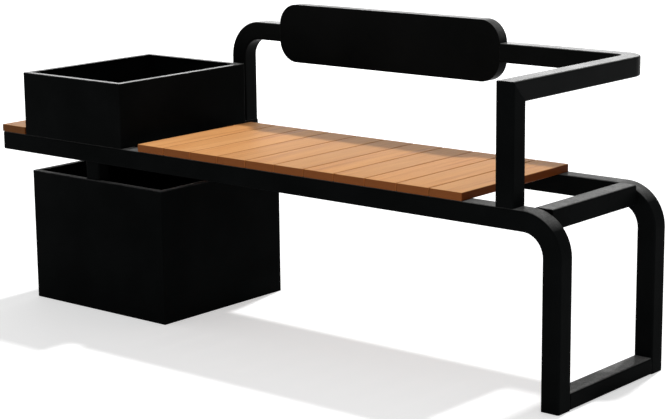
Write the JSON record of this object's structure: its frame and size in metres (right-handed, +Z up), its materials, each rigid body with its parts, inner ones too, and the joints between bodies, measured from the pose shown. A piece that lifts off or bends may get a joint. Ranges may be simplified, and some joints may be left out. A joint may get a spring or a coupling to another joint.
{
  "type": "bench with planter",
  "caption": "Public bench with a wood slat seat on a bent black steel tube frame, a rounded backrest panel, an arm, and steel planter boxes above and below the far end.",
  "frame": {"origin": "centre of the bounding box on the ground", "axes": "+Z up, +Y towards the backrest, the armrest end at +X"},
  "size_m": [1.871, 0.591, 0.806],
  "materials": {
    "frame_steel": "satin black powder coat",
    "panel_steel": "satin black powder coat on folded sheet",
    "planter_steel": "satin black powder coat on folded sheet",
    "seat_wood": "oiled warm brown boards"
  },
  "bodies": {
    "root": {"front_frame": "frame_steel", "rear_frame": "frame_steel", "front_rail_cap": "frame_steel", "rear_rail_cap": "frame_steel", "right_cross_bar": "frame_steel", "middle_cross_bar": "frame_steel", "planter_cross_bar": "frame_steel", "left_cross_bar": "frame_steel", "foot_cross_bar": "frame_steel", "back_post_stub": "frame_steel", "back_post": "frame_steel", "arm_post": "frame_steel", "arm_rail": "frame_steel", "front_box_post": "frame_steel", "rear_box_post": "frame_steel", "backrest_spine": "frame_steel", "backrest_tray": "panel_steel", "backrest_cover": "panel_steel", "upper_planter_box": "planter_steel", "upper_planter_rim": "planter_steel", "lower_planter_box": "planter_steel", "lower_planter_rim": "planter_steel", "seat_slat_01": "seat_wood", "seat_slat_02": "seat_wood", "seat_slat_03": "seat_wood", "seat_slat_04": "seat_wood", "seat_slat_05": "seat_wood", "seat_slat_06": "seat_wood", "seat_slat_07": "seat_wood", "seat_slat_08": "seat_wood", "seat_slat_09": "seat_wood", "seat_slat_10": "seat_wood", "seat_slat_11": "seat_wood", "end_slat": "seat_wood"}
  },
  "joints": []
}
